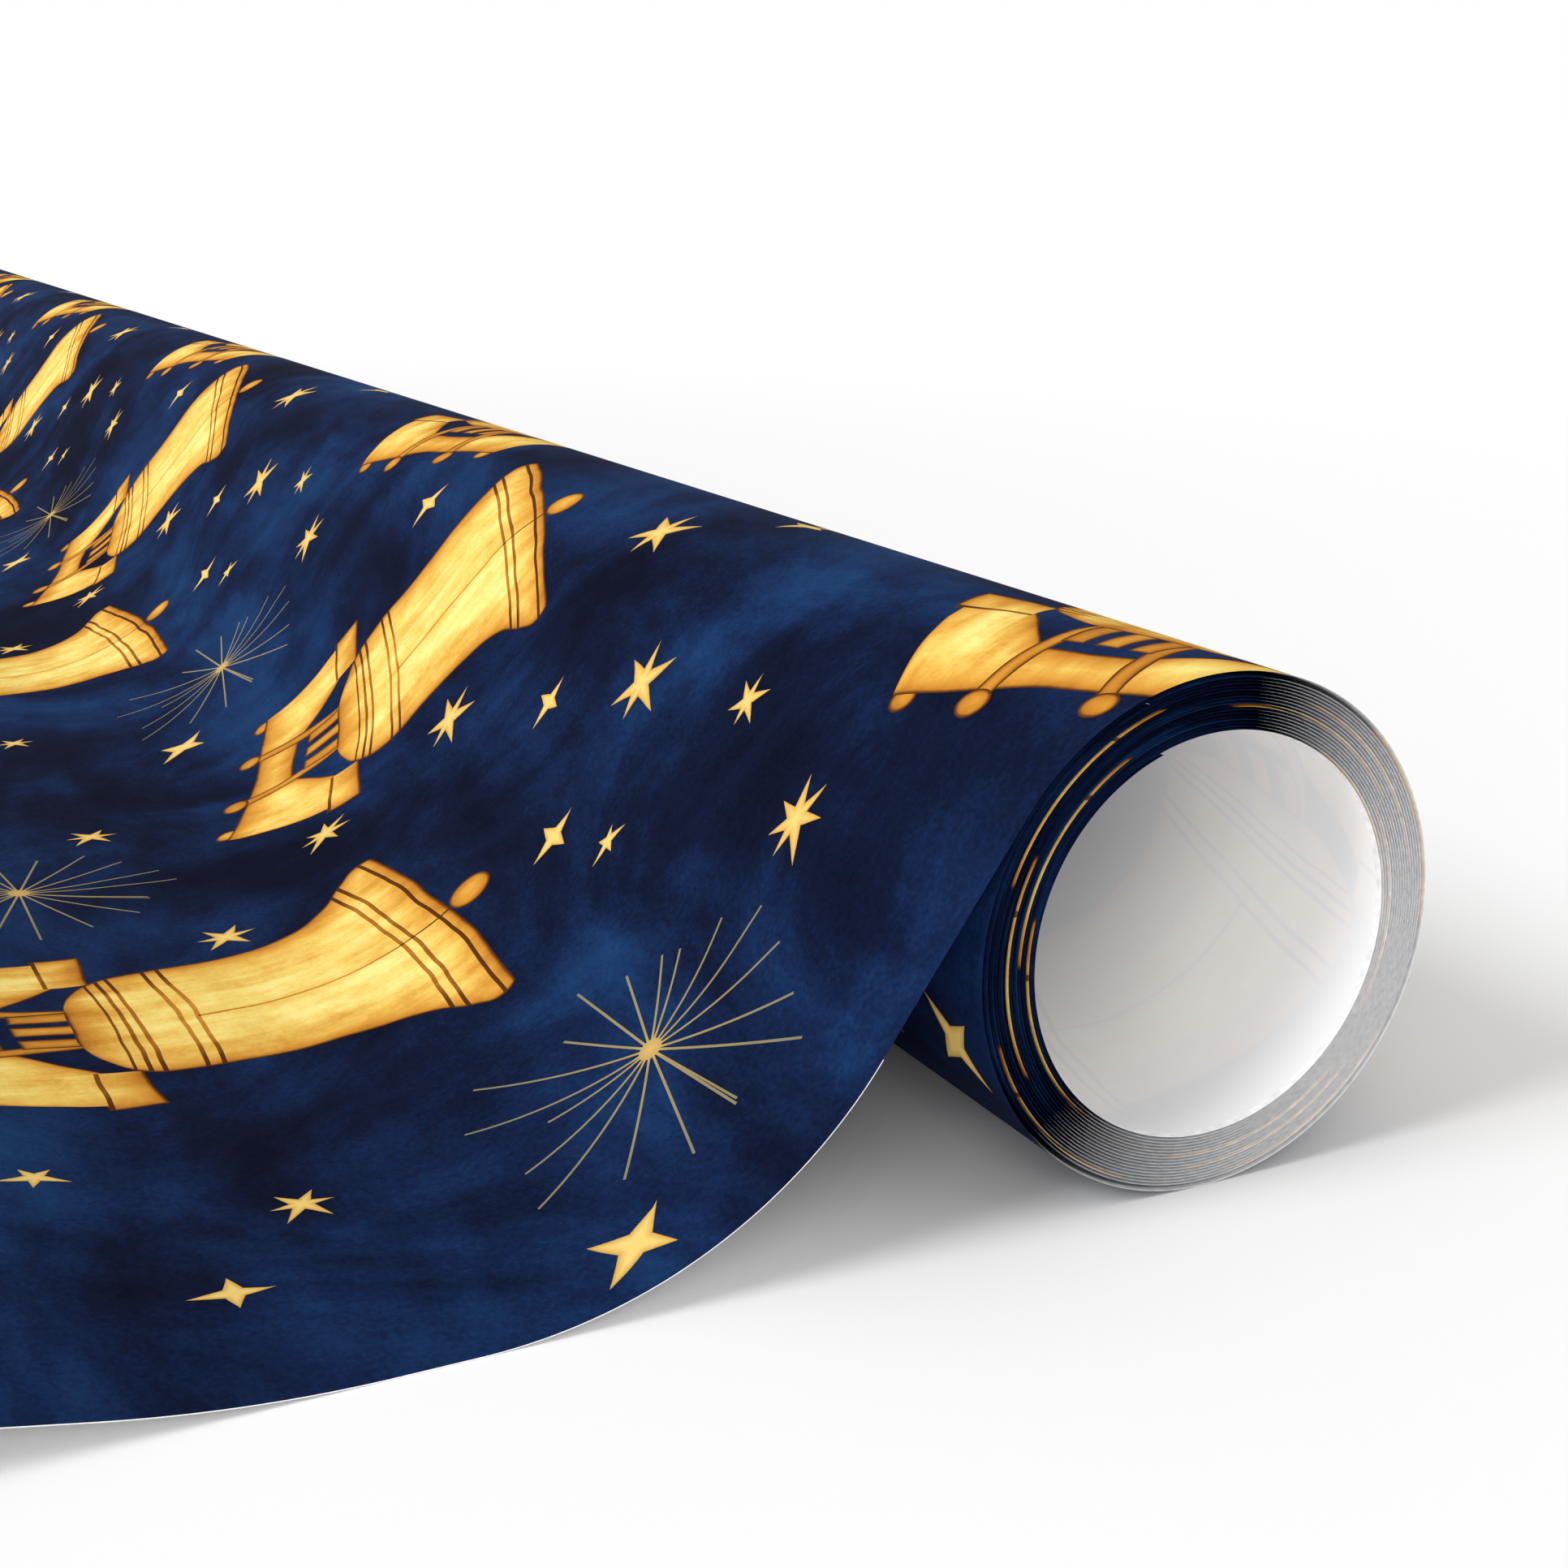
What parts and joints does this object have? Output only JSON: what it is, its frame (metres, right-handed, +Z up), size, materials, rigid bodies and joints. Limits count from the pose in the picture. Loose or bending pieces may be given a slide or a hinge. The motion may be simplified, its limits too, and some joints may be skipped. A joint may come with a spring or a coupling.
{
  "type": "wrapping paper roll",
  "caption": "Coreless roll of printed wrapping paper with a sheet drawn off it: the coil turns on its axis as paper is pulled, and the free end lifts and curls.",
  "frame": {"origin": "on the axis of the bore, halfway along the web's width", "axes": "+Y along the roll's axis, across the web; +Z up; the drawn sheet leaves the roll on its -X side and lies towards -X"},
  "size_m": [0.2239, 0.762, 0.0432],
  "materials": {
    "printed_paper": "matt coated paper, printed in dark blue and gold",
    "paper_back": "unprinted white back of the same paper"
  },
  "bodies": {
    "sheet": {"outer_turn": "printed_paper", "falling_sheet": "printed_paper", "foot_bend": "printed_paper", "floor_strip": "printed_paper"},
    "coil": {"turn_01": "paper_back", "turn_02": "printed_paper", "turn_03": "printed_paper", "turn_04": "printed_paper", "turn_05": "printed_paper", "turn_06": "printed_paper", "turn_07": "printed_paper", "turn_08": "printed_paper", "turn_09": "printed_paper", "turn_10": "printed_paper", "turn_11": "printed_paper", "turn_12": "printed_paper", "turn_13": "printed_paper", "turn_14": "printed_paper", "turn_15": "printed_paper", "turn_16": "printed_paper", "turn_17": "printed_paper"},
    "rise": {"rising_sheet": "printed_paper"},
    "arch": {"arched_sheet": "printed_paper"},
    "free_end": {"cut_end": "printed_paper"}
  },
  "joints": [
    {"name": "coil_spin", "type": "hinge", "parent": "sheet", "child": "coil", "pos_m": [0, 0, 0], "axis": [0, -1, 0], "continuous": true},
    {"name": "sheet_lift", "type": "hinge", "parent": "sheet", "child": "rise", "pos_m": [-0.06774, 0, -0.02137], "axis": [0, 1, 0], "range_deg": [0, 60]},
    {"name": "sheet_bow", "type": "hinge", "parent": "rise", "child": "arch", "pos_m": [-0.10295, 0, -0.01631], "axis": [0, 1, 0], "range_deg": [0, 24]},
    {"name": "sheet_curl", "type": "hinge", "parent": "arch", "child": "free_end", "pos_m": [-0.14285, 0, -0.0123], "axis": [0, 1, 0], "range_deg": [0, 24]}
  ],
  "couplings": [
    {"joint": "sheet_bow", "follows": "sheet_lift", "ratio": 0.4},
    {"joint": "sheet_curl", "follows": "sheet_lift", "ratio": 0.4}
  ]
}
